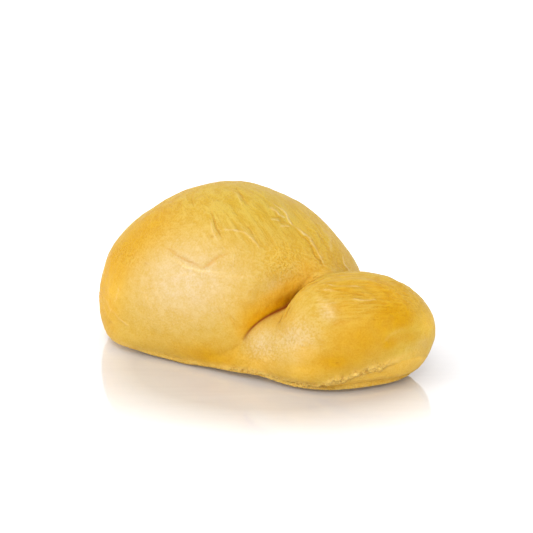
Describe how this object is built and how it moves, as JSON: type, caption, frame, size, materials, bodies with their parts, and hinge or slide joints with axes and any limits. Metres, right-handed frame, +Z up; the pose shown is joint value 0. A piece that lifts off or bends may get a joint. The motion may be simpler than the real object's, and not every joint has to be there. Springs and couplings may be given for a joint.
{
  "type": "smoked scamorza",
  "caption": "Smoked scamorza lying on its side: a round belly, a creased neck and a small head, flat where it rests.",
  "frame": {"origin": "middle of the bounding box, on the flat patch the cheese rests on", "axes": "+X along its length from the round end of the belly to the head, +Z up, -Y the side of the picture"},
  "size_m": [0.1278, 0.097, 0.0623],
  "materials": {
    "smoked_rind": "golden smoked rind, satin, finely wrinkled, a little translucent"
  },
  "bodies": {
    "root": {"scamorza": "smoked_rind"}
  },
  "joints": []
}
